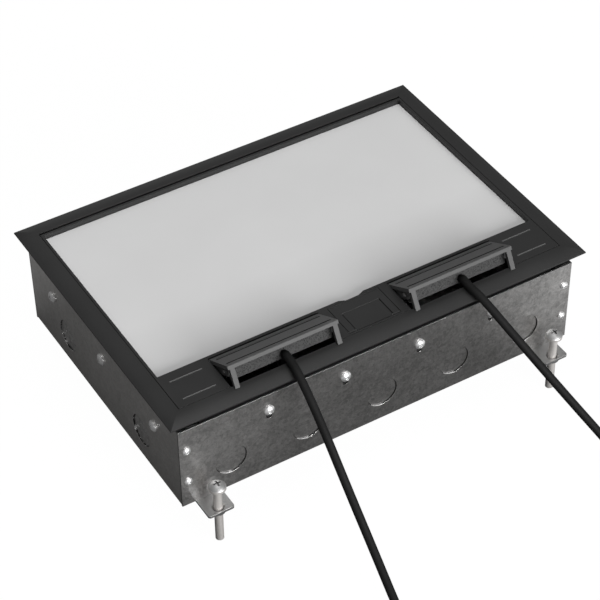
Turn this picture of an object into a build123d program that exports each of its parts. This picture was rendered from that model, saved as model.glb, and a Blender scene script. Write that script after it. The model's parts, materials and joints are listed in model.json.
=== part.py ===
from math import cos, hypot, radians, sin
import os

from build123d import *

os.makedirs("parts", exist_ok=True)

# Floor socket box, millimetres. X along the front, Y to the rear, Z up.
# The origin is on the floor, under the centre of the box, at the tips of the levelling screws.

# Box of galvanised sheet
box_length = 264.0
box_width = 184.4
box_height = 58.2
sheet = 1.2
leg_reach = 26.3             # floor to the underside of the box
flange = 12.0                # return of each side wall behind an end panel
base_hole_inset_x = 47.0     # holes that fix the base to the subfloor
base_hole_inset_y = 37.2
base_hole = 6.4

# Conduit knockouts
knockout = 20.0
knockout_gap = 0.25
knockout_set_in = 0.8
knockout_tab = 4.0
knockout_z = 20.6            # centre above the underside of the box
end_knockout_pitch = 50.0
end_knockout_count = 5
side_knockout_pitch = 92.0

# Trim unit
trim_rise = 10.7             # box rim to lid top
trim_overhang_ends = 6.0     # border past the box's side walls
trim_overhang_sides = 4.4    # border past the end panels
rim = 10.9                   # trim border round the lid
rim_flat = 2.2
edge_drop = 2.1
edge_thickness = 0.8
band = 3.6                   # thickness of the border beside the lid
skirt = 1.3
skirt_clearance = 0.45
end_skirt_drop = 29.2        # below the lid top
side_skirt_drop = 12.5
end_skirt_inset = 12.35      # skirts stop short of the corners
side_skirt_inset = 15.5
ledge = 2.0
ledge_reach = 2.9            # under the edge of the lid
ear = 3.0                    # half the block round a lid pin
leg_clearance = 0.3
leg_swing_clearance = 0.3    # in front of a leg's tip at its furthest swing

# Clamp screws that hold the trim unit in the end panels' slots
clamp_pitch = 50.0
clamp_count = 4
clamp_drop = 22.5            # below the lid top
clamp_radius = 1.75
clamp_head = 3.25
clamp_boss = 4.0
clamp_boss_depth = 5.2
slot_above = 1.95            # slot's upper end above the screw's centre
slot_below = 6.5

# Lid
lid_gap = 0.35
lid_depth = 8.0
lid_floor = 1.5
lid_cell_x_count = 5         # hollows under the lid's floor
lid_cell_y_count = 4
lid_rib = 2.2
lid_edge = 2.8
rim_wall = 1.55
rear_wall = 3.0
inlay = 1.5
inlay_drop = 3.0             # lid top to the face of the inlay
inlay_gap = 0.2
finger_width = 16.4          # curved cut in the strip's rear edge, behind the handle
finger_depth = 2.2
strip_depth = 27.5           # lid's front edge to the rear edge of the front strip
strip_skin = 2.4
lid_pivot_drop = 2.2
lid_pin_radius = 1.2
lid_pin_length = 4.7
lid_pin_seat = 1.4           # length in the lid's side wall
pin_clearance = 0.05         # round a fixed pin or screw
hinge_clearance = 0.1        # round a pin that turns

# Cable flaps
flap_pitch = 117.8
flap_width = 70.8
flap_skin = 2.4
flap_reach = 24.1            # pivot to the front edge
flap_angle = 30.0
flap_leg = 14.0
leg_width = 3.0
leg_inset = 1.0              # the plate's ends stand past the legs
leg_thickness = 2.4
flap_rear_bar = 1.9
small_pin_radius = 0.7
cheek_inset = 1.3
cheek = 1.5
cheek_depth = 5.5
cheek_start = 2.5
cheek_length = 14.5
nub_radius = 1.5
foam_front = 17.8            # forward of the flap's pivot
foam_thickness = 4.0
foam_depth = 8.1
foam_side_gap = 0.3
foam_notch = 7.0
foam_notch_depth = 5.6
holder = 1.5

# Lifting handle
handle_width = 33.8
handle_length = 24.3
handle_gap = 0.35
handle_pocket = 6.8
handle_rib = 1.5
label_depth = 0.25
label_slot = 0.6             # a slot along each end of the label's place
label_slot_depth = 0.8
label_width = 25.4
label_length = 15.4
groove = 0.8
groove_depth = 0.4
strip_groove_y = (5.4, 20.5)  # behind the lid's front edge
strip_groove_end = 5.5
strip_groove_start = 6.2     # past the flap's opening

# Feet
foot_inset = 16.9            # levelling screw inside the box's end
foot_out = 10.3              # levelling screw outside the end panel
foot_width = 16.6
foot_reach = 14.8            # outside the end panel
foot_tail = 30.0             # under the base
foot_sheet = 1.5
foot_collar = 4.2
foot_collar_depth = 3.0
foot_lip = 1.3               # countersink round the screw
foot_corner = 1.6
rivet_radius = 2.0
rivet_head = 3.6
rivet_pitch = 12.0
levelling_radius = 2.5
levelling_head = 5.1
levelling_head_height = 4.3
levelling_shank = 41.5
screw_tip = 0.8

# Panel screws and the carrier's screws
panel_screw_radius = 1.6
panel_screw_head = 2.5
panel_screw_inset = 4.5
panel_screw_low = 18.4       # above the underside of the box
panel_screw_pitch = 24.0
panel_screw_length = 5.0
rail_screw_inset = 29.6      # from the end panel's face
rail_screw_z = 38.9          # above the underside of the box
rail_screw_radius = 2.0
rail_screw_head = 3.6

# Device carrier
rail = 1.5
rail_height = 14.0
rail_inset = 22.2
carrier_sheet = 1.2
carrier_y = 16.0             # front face of the carrier, behind the centre
carrier_low = 2.0            # above the base
carrier_high = 50.5
carrier_tab = 24.0
module_pitch = 45.0
module_count = 5
module_gap = 0.1
module_lip = 1.0
module_front = 2.0
module_depth = 24.0
module_z = 26.4              # centre above the underside of the box
socket_recess = 19.5
socket_recess_depth = 17.0
pin_hole = 2.8
pin_pitch = 19.0
pin_depth = 4.5
port_width = 12.0
port_height = 9.0
port_depth = 14.0
port_pitch = 20.0

# Earth stud on the base
stud_inset_x = 32.0
stud_inset_y = 24.2
stud_radius = 2.5
stud_height = 14.0
stud_washer = 5.0
stud_nut = 4.6
stud_nut_height = 4.0

# Plugs and cords
plug_x = 45.0
plug_fit = 0.7
plug_grip = 20.0
plug_neck = 12.0
plug_grip_length = 22.0
relief_length = 25.0
relief_thick = 4.6
relief_thin = 3.2
cord_radius = 2.5
left_cord_x = -58.0          # where the cords pass the flaps' foam
right_cord_x = 60.5
left_cord_down = 121.6        # in front of the lid, where a cord lies down and where its coil begins
left_cord_end = 150.6
right_cord_down = 114.6
right_cord_end = 138.6
coil_radius = 29.0           # to the middle of the turns
coil_turns_across = 5
coil_layers = 2
coil_tail = 23.0
connector_length = 32.0
connector_width = 21.0
connector_relief = 22.0

# Levels and edges that follow from the sizes above
trim_length = box_length + 2 * trim_overhang_ends
trim_width = box_width + 2 * trim_overhang_sides
box_bottom = leg_reach
box_top = box_bottom + box_height
lid_top = box_top + trim_rise
base_top = box_bottom + sheet
inner_x = box_length / 2 - sheet
inner_y = box_width / 2 - sheet
skirt_x = inner_x - skirt_clearance
skirt_y = inner_y - skirt_clearance
opening_length = trim_length - 2 * rim
opening_width = trim_width - 2 * rim
lid_length = opening_length - 2 * lid_gap
lid_width = opening_width - 2 * lid_gap
trim_under = lid_top - edge_drop - edge_thickness
lid_under = lid_top - lid_depth
lid_front = -lid_width / 2
clamp_z = lid_top - clamp_drop
end_skirt_length = 2 * (skirt_x - end_skirt_inset)
side_skirt_length = 2 * (skirt_y - side_skirt_inset)
strip_back = -lid_front - strip_depth
lid_pivot_y = lid_width / 2 - lid_pivot_drop
lid_pivot_z = lid_top - lid_pivot_drop
flap_nose = flap_skin / 2
flap_pivot_z = lid_top - flap_nose
flap_pivot_y = -lid_front - flap_reach
flap_opening = flap_width + 2 * lid_gap
handle_nose = strip_skin / 2
handle_front = lid_front + 1.4
handle_pivot_y = handle_front + handle_nose
handle_pivot_z = lid_top - handle_nose
leg_centre = (flap_width - leg_width) / 2 - leg_inset
leg_swing = hypot(flap_reach, flap_leg - flap_nose)
socket_z = box_bottom + module_z
rail_z = box_bottom + rail_screw_z
rail_screw_y = box_width / 2 - rail_screw_inset
cord_on_floor = cord_radius
coil_half_width = coil_turns_across * cord_radius
coil_top_turn = cord_radius * (2 * coil_layers - 1)
connector_height = 2 * coil_top_turn
flap_centres = (-flap_pitch / 2, flap_pitch / 2)
flap_outside = (flap_pitch + flap_opening) / 2
foot_x = box_length / 2 - foot_inset
foot_y = box_width / 2 + foot_out
rail_length = box_width - 2 * rail_inset
base_hole_x = box_length - 2 * base_hole_inset_x
base_hole_y = box_width - 2 * base_hole_inset_y
stud_x = box_length / 2 - stud_inset_x
stud_y = box_width / 2 - stud_inset_y
finger_radius = (finger_width**2 / 4 + finger_depth**2) / (2 * finger_depth)


def keep(node, piece):
    """Label a finished piece and write it as its own file."""
    piece.part.label = node
    export_step(piece.part, f"parts/{node}.step")


def slab(x0, x1, y0, y1, z0, z1, mode=Mode.ADD):
    """A flat-sided block between two corners, added to the open part."""
    with Locations(((x0 + x1) / 2, (y0 + y1) / 2, (z0 + z1) / 2)):
        Box(abs(x1 - x0), abs(y1 - y0), abs(z1 - z0), mode=mode)


def rod(plane, radius, length, mode=Mode.ADD):
    """A round bar that starts on a plane and runs along its normal."""
    with BuildSketch(plane) as end:
        Circle(radius)
    extrude(end.sketch, amount=length, mode=mode)


def along_x(x, y, z, direction=1):
    return Plane(origin=(x, y, z), x_dir=(0, 1, 0), z_dir=(direction, 0, 0))


def along_y(x, y, z, direction=1):
    return Plane(origin=(x, y, z), x_dir=(1, 0, 0), z_dir=(0, direction, 0))


def along_z(x, y, z, direction=1):
    return Plane(origin=(x, y, z), x_dir=(1, 0, 0), z_dir=(0, 0, direction))


def domed_screw(seat, radius, length, head, head_height, drive=0.0):
    """A screw whose head stands on the seat plane, with a domed head and a cross recess."""
    turning = Plane(origin=seat.origin, x_dir=seat.z_dir, z_dir=seat.x_dir)
    edge = head_height * 0.35
    with BuildSketch(turning) as section:
        with BuildLine():
            Polyline(
                (head_height, 0),
                (-length, 0),
                (-length, radius - screw_tip),
                (-length + screw_tip, radius),
                (0, radius),
                (0, head),
                (edge, head),
            )
            TangentArc((head_height, 0), (edge, head), tangent=(0, 1))
        make_face()
    revolve(section.sketch, axis=Axis(seat.origin, seat.z_dir))
    if drive:
        with BuildSketch(seat.offset(head_height)) as cross:
            Rectangle(2 * drive, drive * 0.45)
            Rectangle(drive * 0.45, 2 * drive)
        extrude(cross.sketch, amount=-head_height * 0.55, mode=Mode.SUBTRACT)


def end_positions(count, pitch):
    """Places along the front, the same distance apart and centred."""
    return [(i - (count - 1) / 2) * pitch for i in range(count)]


def knockouts(plane_at, places):
    """Part-sheared discs, set in by most of the sheet and held by a tab at the top."""
    for place in places:
        face = plane_at(place)
        rod(face, knockout / 2, -sheet, mode=Mode.SUBTRACT)
        rod(face.offset(-knockout_set_in), knockout / 2 - knockout_gap, -sheet)
        with BuildSketch(face.offset(-knockout_set_in)) as tab:
            with Locations((0, knockout / 2)):
                Rectangle(knockout_tab, 2.0)
        extrude(tab.sketch, amount=-(sheet - knockout_set_in))


def facing(origin, normal):
    """A plane on an upright wall: its local Y is up."""
    nx, ny = normal
    return Plane(origin=origin, x_dir=(-ny, nx, 0), z_dir=(nx, ny, 0))


# Base tray: floor, two side walls and their returns, one folded sheet
with BuildPart() as base_tray:
    slab(-box_length / 2, box_length / 2, -inner_y, inner_y, box_bottom, base_top)
    for side in (-1, 1):
        slab(side * inner_x, side * box_length / 2, -inner_y, inner_y, box_bottom, box_top)
        for end in (-1, 1):
            slab(
                side * (box_length / 2 - flange),
                side * box_length / 2,
                end * (inner_y - sheet),
                end * inner_y,
                box_bottom,
                box_top,
            )
    with BuildSketch(Plane.XY.offset(box_bottom)):
        with GridLocations(base_hole_x, base_hole_y, 2, 2):
            Circle(base_hole / 2)
        for side in (-1, 1):
            for end in (-1, 1):
                for step in (0, 1):
                    with Locations((side * foot_x, end * (inner_y - 8 - step * rivet_pitch))):
                        Circle(rivet_radius)
        with Locations((stud_x, stud_y)):
            Circle(stud_radius + pin_clearance)
    extrude(amount=sheet, mode=Mode.SUBTRACT)
    for side in (-1, 1):
        knockouts(
            lambda y: facing((side * box_length / 2, y, box_bottom + knockout_z), (side, 0)),
            end_positions(2, side_knockout_pitch),
        )
        for y in (-rail_screw_y, 0, rail_screw_y):
            rod(
                along_x(side * inner_x, y, rail_z, side),
                rail_screw_radius,
                sheet,
                mode=Mode.SUBTRACT,
            )
        for end in (-1, 1):
            for step in (0, 1):
                z = box_bottom + panel_screw_low + step * panel_screw_pitch
                rod(
                    along_y(side * (box_length / 2 - panel_screw_inset), end * (inner_y - sheet), z, end),
                    panel_screw_radius,
                    sheet,
                    mode=Mode.SUBTRACT,
                )
    fold = base_tray.edges().filter_by(Axis.Y).group_by(Axis.Z)[0].sort_by(Axis.X)
    fillet((fold[0], fold[-1]), sheet * 0.9)
keep("base_tray", base_tray)

# End panels: one sheet each, screwed over the returns of the side walls
with BuildPart() as front_panel:
    slab(-box_length / 2, box_length / 2, -box_width / 2, -inner_y, box_bottom, box_top)
    knockouts(
        lambda x: facing((x, -box_width / 2, box_bottom + knockout_z), (0, -1)),
        end_positions(end_knockout_count, end_knockout_pitch),
    )
    slot_z = clamp_z + (slot_above - slot_below) / 2
    with BuildSketch(facing((0, -box_width / 2, slot_z), (0, -1))):
        with GridLocations(clamp_pitch, 1, clamp_count, 1):
            SlotOverall(slot_above + slot_below, 2 * slot_above, rotation=90)
    extrude(amount=-sheet, mode=Mode.SUBTRACT)
    for side in (-1, 1):
        for step in (0, 1):
            z = box_bottom + panel_screw_low + step * panel_screw_pitch
            rod(
                along_y(side * (box_length / 2 - panel_screw_inset), -inner_y, z, -1),
                panel_screw_radius,
                sheet,
                mode=Mode.SUBTRACT,
            )
keep("front_panel", front_panel)

with BuildPart() as rear_panel:
    mirror(front_panel.part, about=Plane.XZ)
keep("rear_panel", rear_panel)

# Small screws that hold the end panels on the returns
with BuildPart() as panel_screws:
    for side in (-1, 1):
        for end in (-1, 1):
            for step in (0, 1):
                z = box_bottom + panel_screw_low + step * panel_screw_pitch
                x = side * (box_length / 2 - panel_screw_inset)
                domed_screw(
                    along_y(x, end * box_width / 2, z, end),
                    panel_screw_radius - pin_clearance,
                    panel_screw_length,
                    panel_screw_head,
                    1.9,
                    1.3,
                )
keep("panel_screws", panel_screws)


def foot_bracket(side, end):
    """A strap under the base with a threaded collar for the levelling screw."""
    outer = end * (box_width / 2 + foot_reach)
    inner = end * (box_width / 2 - foot_tail)
    with BuildSketch(Plane.XY.offset(box_bottom)) as strap:
        with Locations((side * foot_x, (outer + inner) / 2)):
            Rectangle(foot_width, abs(outer - inner))
        tips = strap.vertices().sort_by(Axis.Y)
        fillet(tips[:2] if end < 0 else tips[-2:], foot_corner)
    extrude(strap.sketch, amount=-foot_sheet)
    rod(along_z(side * foot_x, end * foot_y, box_bottom, -1), foot_collar, foot_collar_depth)
    rod(
        along_z(side * foot_x, end * foot_y, box_bottom, -1),
        levelling_radius + pin_clearance,
        foot_collar_depth,
        mode=Mode.SUBTRACT,
    )
    with Locations((side * foot_x, end * foot_y, box_bottom - foot_lip / 2)):
        Cone(levelling_radius, levelling_radius + foot_lip, foot_lip, mode=Mode.SUBTRACT)
    for step in (0, 1):
        rod(
            along_z(side * foot_x, end * (inner_y - 8 - step * rivet_pitch), box_bottom, -1),
            rivet_radius,
            foot_sheet,
            mode=Mode.SUBTRACT,
        )


with BuildPart() as foot_brackets:
    for side in (-1, 1):
        for end in (-1, 1):
            foot_bracket(side, end)
keep("foot_brackets", foot_brackets)

# Rivets through the straps and the base
with BuildPart() as bracket_rivets:
    for side in (-1, 1):
        for end in (-1, 1):
            for step in (0, 1):
                seat = along_z(
                    side * foot_x,
                    end * (inner_y - 8 - step * rivet_pitch),
                    box_bottom - foot_sheet,
                    -1,
                )
                domed_screw(seat, rivet_radius - pin_clearance, foot_sheet + sheet, rivet_head, 1.2)
                rod(
                    along_z(seat.origin.X, seat.origin.Y, base_top),
                    rivet_head * 0.8,
                    0.9,
                )
keep("bracket_rivets", bracket_rivets)

# Levelling screws, one node each because each turns by itself
for row, end in (("front", -1), ("rear", 1)):
    for hand, side in (("left", -1), ("right", 1)):
        with BuildPart() as levelling_screw:
            domed_screw(
                along_z(side * foot_x, end * foot_y, levelling_shank),
                levelling_radius,
                levelling_shank,
                levelling_head,
                levelling_head_height,
                2.2,
            )
        keep(f"levelling_screw_{row}_{hand}", levelling_screw)


def rim_section(plane, half):
    """The border's section: flat beside the lid, then a curve down to a thin edge."""
    flat_end = half - rim + rim_flat
    with BuildSketch(plane) as section:
        with BuildLine():
            Polyline((0, lid_top), (0, trim_under), (half, trim_under), (half, lid_top - edge_drop))
            TangentArc((flat_end, lid_top), (half, lid_top - edge_drop), tangent=(1, 0))
            Line((flat_end, lid_top), (0, lid_top))
        make_face()
        mirror(about=Plane.YZ)
    return section.sketch


def leg_notches():
    """Four notches in the front border for the legs of the flaps."""
    half = leg_width / 2 + leg_clearance
    notch_front = -flap_pivot_y - leg_swing - leg_swing_clearance
    for centre in flap_centres:
        for side in (-1, 1):
            x = centre + side * leg_centre
            slab(x - half, x + half, notch_front, lid_front, lid_under - 4, lid_top, Mode.SUBTRACT)


# Trim frame: mitred border, the band beneath it and the ears for the lid's pins
with BuildPart() as trim_frame:
    extrude(rim_section(Plane.YZ, trim_width / 2), amount=trim_length / 2, both=True)
    extrude(
        rim_section(Plane.XZ, trim_length / 2),
        amount=trim_width / 2,
        both=True,
        mode=Mode.INTERSECT,
    )
    with BuildSketch(Plane.XY.offset(lid_top - band)):
        Rectangle(2 * skirt_x, 2 * skirt_y)
    extrude(amount=band - edge_drop)
    with BuildSketch(Plane.XY.offset(lid_top)):
        Rectangle(opening_length, opening_width)
    extrude(amount=-lid_depth, mode=Mode.SUBTRACT)
    for side in (-1, 1):
        slab(
            side * opening_length / 2,
            side * skirt_x,
            lid_pivot_y - ear,
            lid_pivot_y + ear,
            lid_top - 2 * ear,
            lid_top - edge_drop,
        )
        rod(
            along_x(side * opening_length / 2, lid_pivot_y, lid_pivot_z, side),
            lid_pin_radius + pin_clearance,
            lid_pin_length - lid_pin_seat,
            mode=Mode.SUBTRACT,
        )
    leg_notches()
keep("trim_frame", trim_frame)

# Clamp frame under the border: four skirts inside the box, screw bosses and ledges for the lid
with BuildPart() as clamp_frame:
    under_band = lid_top - band
    for end in (-1, 1):
        slab(
            -end_skirt_length / 2,
            end_skirt_length / 2,
            end * skirt_y,
            end * (skirt_y - skirt),
            lid_top - end_skirt_drop,
            under_band,
        )
        for x in end_positions(clamp_count, clamp_pitch):
            rod(along_y(x, end * (skirt_y - skirt), clamp_z, -end), clamp_boss, clamp_boss_depth)
            rod(
                along_y(x, end * skirt_y, clamp_z, -end),
                clamp_radius,
                skirt + clamp_boss_depth,
                mode=Mode.SUBTRACT,
            )
    for side in (-1, 1):
        slab(
            side * skirt_x,
            side * (skirt_x - skirt),
            -side_skirt_length / 2,
            side_skirt_length / 2,
            lid_top - side_skirt_drop,
            under_band,
        )
        slab(
            side * (skirt_x - skirt),
            side * (lid_length / 2 - ledge_reach),
            -side_skirt_length / 2,
            side_skirt_length / 2,
            lid_under - ledge,
            lid_under,
        )
        slab(
            side * (flap_outside + 2),
            side * end_skirt_length / 2,
            -(skirt_y - skirt),
            lid_front + ledge_reach,
            lid_under - ledge,
            lid_under,
        )
    middle = flap_pitch - flap_outside - 2
    slab(-middle, middle, -(skirt_y - skirt), lid_front + ledge_reach, lid_under - ledge, lid_under)
    leg_notches()
keep("clamp_frame", clamp_frame)

# Clamp screws in the slots of the two end panels
with BuildPart() as clamp_screws:
    for end in (-1, 1):
        for x in end_positions(clamp_count, clamp_pitch):
            domed_screw(
                along_y(x, end * box_width / 2, clamp_z, end),
                clamp_radius - pin_clearance,
                sheet + skirt_clearance + skirt + clamp_boss_depth - 0.5,
                clamp_head,
                2.5,
                1.7,
            )
keep("clamp_screws", clamp_screws)


# Lid tray: rim and floor for the inlay, front strip with two flap openings and the handle's pocket
with BuildPart() as lid_tray:
    slab(-lid_length / 2, lid_length / 2, lid_front, lid_width / 2, lid_under, lid_top)
    nose = lid_tray.edges().filter_by(Axis.X).group_by(Axis.Y)[-1].sort_by(Axis.Z)[-1]
    fillet(nose, lid_pivot_drop)
    recess_x = lid_length / 2 - rim_wall
    recess_back = lid_width / 2 - rear_wall
    slab(-recess_x, recess_x, -strip_back, recess_back, lid_top - inlay_drop - inlay, lid_top, Mode.SUBTRACT)
    pocket_under = lid_top - inlay_drop - inlay - lid_floor
    cell_x = (2 * recess_x - lid_edge) / lid_cell_x_count
    cell_y = (recess_back + strip_back - lid_edge) / lid_cell_y_count
    with BuildSketch(Plane.XY.offset(lid_under)):
        with Locations((0, (recess_back - strip_back) / 2)):
            with GridLocations(cell_x, cell_y, lid_cell_x_count, lid_cell_y_count):
                Rectangle(cell_x - lid_rib, cell_y - lid_rib)
    extrude(amount=pocket_under - lid_under, mode=Mode.SUBTRACT)
    for side in (-1, 1):
        slab(
            side * (flap_outside + 2),
            side * recess_x,
            lid_front + 1.6,
            -strip_back - 1.6,
            lid_under,
            lid_top - strip_skin,
            Mode.SUBTRACT,
        )
    for centre in flap_centres:
        slab(
            centre - flap_opening / 2,
            centre + flap_opening / 2,
            lid_front,
            -strip_back - flap_rear_bar,
            lid_under,
            lid_top,
            Mode.SUBTRACT,
        )
        for side in (-1, 1):
            rod(
                along_x(centre + side * flap_opening / 2, -flap_pivot_y, flap_pivot_z, side),
                small_pin_radius + hinge_clearance,
                1.4,
                mode=Mode.SUBTRACT,
            )
    pocket_x = handle_width / 2 + handle_gap
    handle_back = handle_front + handle_length
    slab(
        -pocket_x,
        pocket_x,
        handle_front - handle_gap,
        handle_back + handle_gap,
        lid_top - handle_pocket,
        lid_top,
        Mode.SUBTRACT,
    )
    with BuildSketch(Plane.XY.offset(lid_top)):
        with Locations((0, -strip_back - finger_depth + finger_radius)):
            Circle(finger_radius)
    extrude(amount=-inlay_drop, mode=Mode.SUBTRACT)
    groove_start = flap_outside + strip_groove_start
    groove_stop = lid_length / 2 - strip_groove_end
    for side in (-1, 1):
        for behind in strip_groove_y:
            with BuildSketch(along_x(side * groove_start, lid_front + behind, lid_top, side)) as vee:
                with Locations((0, 0)):
                    Rectangle(groove * 0.72, groove * 0.72, rotation=45)
            extrude(vee.sketch, amount=groove_stop - groove_start, mode=Mode.SUBTRACT)
    for side in (-1, 1):
        rod(
            along_x(side * pocket_x, handle_pivot_y, handle_pivot_z, side),
            small_pin_radius + hinge_clearance,
            1.6,
            mode=Mode.SUBTRACT,
        )
        rod(
            along_x(side * lid_length / 2, lid_pivot_y, lid_pivot_z, -side),
            lid_pin_radius + hinge_clearance,
            lid_pin_seat + pin_clearance,
            mode=Mode.SUBTRACT,
        )
keep("lid_tray", lid_tray)

with BuildPart() as lid_inlay:
    slab(
        -recess_x + inlay_gap,
        recess_x - inlay_gap,
        -strip_back + inlay_gap,
        recess_back - inlay_gap,
        lid_top - inlay_drop - inlay,
        lid_top - inlay_drop,
    )
    fillet(lid_inlay.edges().filter_by(Axis.Z), 0.8)
keep("lid_inlay", lid_inlay)

with BuildPart() as lid_hinge_pins:
    for side in (-1, 1):
        start = side * (lid_length / 2 - lid_pin_seat)
        rod(along_x(start, lid_pivot_y, lid_pivot_z, side), lid_pin_radius, lid_pin_length)
keep("lid_hinge_pins", lid_hinge_pins)


def flap_side(centre):
    """Side-view plane of an open flap: X forward from the pivot along the plate, Y out of it."""
    tilt = radians(flap_angle)
    return Plane(
        origin=(centre, -flap_pivot_y, flap_pivot_z),
        x_dir=(0, -cos(tilt), sin(tilt)),
        z_dir=(-1, 0, 0),
    )


def flap_block(side_view, x0, x1, s0, s1, n0, n1, mode=Mode.ADD):
    """A block of the flap, between x0 and x1 across it, in the flap's own side view."""
    with BuildSketch(side_view.offset(-x1)) as face:
        with Locations(((s0 + s1) / 2, (n0 + n1) / 2)):
            Rectangle(s1 - s0, n1 - n0)
    extrude(face.sketch, amount=x1 - x0, mode=mode)


def make_flap(centre):
    """Plate with a full-round rear edge, front frame with two legs, cheeks and the foam's holder."""
    view = flap_side(centre)
    half = flap_width / 2
    with BuildPart() as flap:
        with BuildSketch(view):
            Circle(flap_nose)
            with Locations((flap_reach / 2, 0)):
                Rectangle(flap_reach, flap_skin)
        extrude(amount=half, both=True)
        for side in (-1, 1):
            leg_x = sorted((side * (half - leg_inset), side * (half - leg_inset - leg_width)))
            leg_low = flap_nose - flap_leg
            flap_block(view, *leg_x, flap_reach - leg_thickness, flap_reach, leg_low, 0)
            cheek_x = sorted((side * (half - cheek_inset), side * (half - cheek_inset - cheek)))
            with BuildSketch(view.offset(-cheek_x[1])):
                with BuildLine():
                    cheek_low = -flap_nose - cheek_depth
                    Polyline(
                        (cheek_start, 0),
                        (cheek_start + 2.5, cheek_low),
                        (cheek_start + cheek_length, cheek_low),
                        (cheek_start + cheek_length + 2, 0),
                        close=True,
                    )
                make_face()
            extrude(amount=cheek_x[1] - cheek_x[0])
            with BuildSketch(view.offset(-side * (half - cheek_inset - 0.2))):
                with Locations((cheek_start + cheek_length - 2.5, -flap_nose - cheek_depth / 2)):
                    Circle(nub_radius)
            extrude(amount=-side * 1.1, taper=20)
        inner = half - cheek_inset - cheek
        rib_back = foam_front - foam_thickness - holder
        flap_block(view, -inner - 0.5, inner + 0.5, rib_back, rib_back + holder, -7.5, 0)
        for groove_at in (3.7, 19.0):
            long = half - 2.65
            flap_block(
                view,
                -long,
                long,
                groove_at - groove / 2,
                groove_at + groove / 2,
                flap_nose - groove_depth,
                flap_nose + 1,
                Mode.SUBTRACT,
            )
        rod(
            along_x(centre - half, -flap_pivot_y, flap_pivot_z),
            small_pin_radius + hinge_clearance,
            flap_width,
            mode=Mode.SUBTRACT,
        )
        front_edges = flap.edges().filter_by(Axis.X).filter_by(lambda e: e.length > flap_width - 0.1)
        fillet(front_edges.sort_by(Axis.Z)[-1], 0.5)
    return flap


def make_foam(centre, cord_x):
    """A foam strip on the flap's holder, notched where the cord presses into it."""
    view = flap_side(centre)
    half = flap_width / 2 - cheek_inset - cheek - foam_side_gap
    notch = cord_x - centre
    low = -flap_nose - foam_depth
    with BuildPart() as foam:
        flap_block(view, -half, half, foam_front - foam_thickness, foam_front, low, -flap_nose)
        flap_block(
            view,
            notch - foam_notch / 2,
            notch + foam_notch / 2,
            foam_front - foam_thickness,
            foam_front,
            low,
            low + foam_notch_depth,
            Mode.SUBTRACT,
        )
    return foam


for hand, centre, cord_x in (("left", flap_centres[0], left_cord_x), ("right", flap_centres[1], right_cord_x)):
    keep(f"flap_{hand}", make_flap(centre))
    keep(f"flap_foam_{hand}", make_foam(centre, cord_x))
    with BuildPart() as flap_pin:
        reach = flap_opening / 2 + 1.2
        rod(along_x(centre - reach, -flap_pivot_y, flap_pivot_z), small_pin_radius, 2 * reach)
    keep(f"flap_pin_{hand}", flap_pin)

# Lifting handle: a plate hinged at the front, raised by its rear edge
with BuildPart() as handle:
    half = handle_width / 2
    with BuildSketch(along_x(-half, handle_pivot_y, handle_pivot_z)):
        Circle(handle_nose)
        with Locations(((handle_length - handle_nose) / 2, 0)):
            Rectangle(handle_length - handle_nose, strip_skin)
    extrude(amount=handle_width)
    for side in (-1, 1):
        slab(
            side * (half - 1),
            side * (half - 1 - handle_rib),
            handle_front + 3,
            handle_back - 3,
            lid_top - handle_pocket + 0.3,
            handle_pivot_z,
        )
    with BuildSketch(Plane.XY.offset(lid_top)):
        with Locations((0, handle_front + label_length / 2 + 0.5)):
            Rectangle(label_width, label_length)
        with Locations((0, handle_back - 1.3)):
            Rectangle(handle_width - 2.4, 0.5)
    extrude(amount=-label_depth, mode=Mode.SUBTRACT)
    with BuildSketch(Plane.XY.offset(lid_top)):
        for side in (-1, 1):
            with Locations((side * (label_width - label_slot) / 2, handle_front + label_length / 2 + 0.5)):
                Rectangle(label_slot, label_length)
    extrude(amount=-label_slot_depth, mode=Mode.SUBTRACT)
    rod(
        along_x(-half, handle_pivot_y, handle_pivot_z),
        small_pin_radius + hinge_clearance,
        handle_width,
        mode=Mode.SUBTRACT,
    )
keep("handle", handle)

with BuildPart() as handle_pin:
    reach = pocket_x + 1.4
    rod(along_x(-reach, handle_pivot_y, handle_pivot_z), small_pin_radius, 2 * reach)
keep("handle_pin", handle_pin)

# Side rails on the box walls and the screws that hold them
rail_face = inner_x - rail
tab_y = carrier_y + carrier_tab / 2
with BuildPart() as side_rails:
    for side in (-1, 1):
        slab(
            side * inner_x,
            side * rail_face,
            -rail_length / 2,
            rail_length / 2,
            rail_z - rail_height / 2,
            rail_z + rail_height / 2,
        )
        for y in (-rail_screw_y, 0, rail_screw_y, tab_y):
            rod(along_x(side * rail_face, y, rail_z, side), rail_screw_radius, rail, mode=Mode.SUBTRACT)
keep("side_rails", side_rails)

with BuildPart() as rail_screws:
    for side in (-1, 1):
        for y in (-rail_screw_y, 0, rail_screw_y):
            domed_screw(
                along_x(side * box_length / 2, y, rail_z, side),
                rail_screw_radius - pin_clearance,
                sheet + rail + 1.5,
                rail_screw_head,
                2.3,
                1.7,
            )
keep("rail_screws", rail_screws)

# Device carrier: an upright plate with one window, and a bent tab at each end
carrier_x = rail_face
module_half = module_pitch * module_count / 2
window_half = module_pitch / 2
with BuildPart() as device_carrier:
    slab(
        -carrier_x,
        carrier_x,
        carrier_y,
        carrier_y + carrier_sheet,
        base_top + carrier_low,
        base_top + carrier_high,
    )
    for side in (-1, 1):
        slab(
            side * carrier_x,
            side * (carrier_x - carrier_sheet),
            carrier_y,
            carrier_y + carrier_tab,
            rail_z - rail_height / 2,
            rail_z + rail_height / 2,
        )
        rod(
            along_x(side * (carrier_x - carrier_sheet), tab_y, rail_z, side),
            rail_screw_radius,
            carrier_sheet,
            mode=Mode.SUBTRACT,
        )
    slab(
        -module_half - module_gap,
        module_half + module_gap,
        carrier_y,
        carrier_y + carrier_sheet,
        socket_z - window_half,
        socket_z + window_half,
        Mode.SUBTRACT,
    )
keep("device_carrier", device_carrier)

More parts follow.
